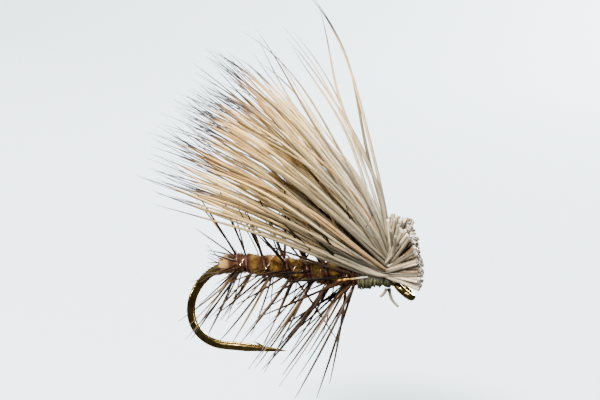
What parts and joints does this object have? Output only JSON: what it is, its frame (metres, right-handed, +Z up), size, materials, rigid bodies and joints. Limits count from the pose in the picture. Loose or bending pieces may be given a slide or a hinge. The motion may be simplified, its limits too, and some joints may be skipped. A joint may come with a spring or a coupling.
{
  "type": "dry fly",
  "caption": "Hair-wing dry fly on a down-eye hook: dubbed and wire-ribbed body, palmered brown hackle, raised hair wing and a head of trimmed hair butts.",
  "frame": {"origin": "centre of the hook's eye", "axes": "+X along the shank towards the eye, +Z up to the wing side, the hook lies in the plane y = 0"},
  "size_m": [0.0168, 0.0126, 0.0216],
  "materials": {
    "hook_bronze": "bronzed, glossy",
    "thread": "waxed olive tying thread",
    "dubbing": "fuzzy amber dubbing",
    "rib_wire": "bright copper-coloured wire",
    "hackle": "dark brown rooster hackle, slightly glossy",
    "elk_hair": "natural elk hair, tan with dark tips",
    "lacquer": "clear head lacquer over olive thread"
  },
  "bodies": {
    "root": {"dubbed_abdomen": "dubbing", "elk_hair_lock_01": "elk_hair", "elk_hair_lock_02": "elk_hair", "elk_hair_lock_03": "elk_hair", "elk_hair_lock_04": "elk_hair", "elk_hair_lock_05": "elk_hair", "elk_hair_lock_06": "elk_hair", "elk_hair_lock_07": "elk_hair", "elk_hair_lock_08": "elk_hair", "elk_hair_lock_09": "elk_hair", "elk_hair_lock_10": "elk_hair", "elk_hair_lock_11": "elk_hair", "elk_hair_lock_12": "elk_hair", "elk_hair_lock_13": "elk_hair", "elk_hair_lock_14": "elk_hair", "elk_hair_lock_15": "elk_hair", "hackle_feather": "hackle", "head_cement": "lacquer", "hook": "hook_bronze", "rib_wire": "rib_wire", "thread_collar": "thread", "thread_front_wraps": "thread", "thread_underbody": "thread", "trapped_hair_1": "elk_hair", "trapped_hair_2": "elk_hair", "whip_finish": "thread"}
  },
  "joints": []
}
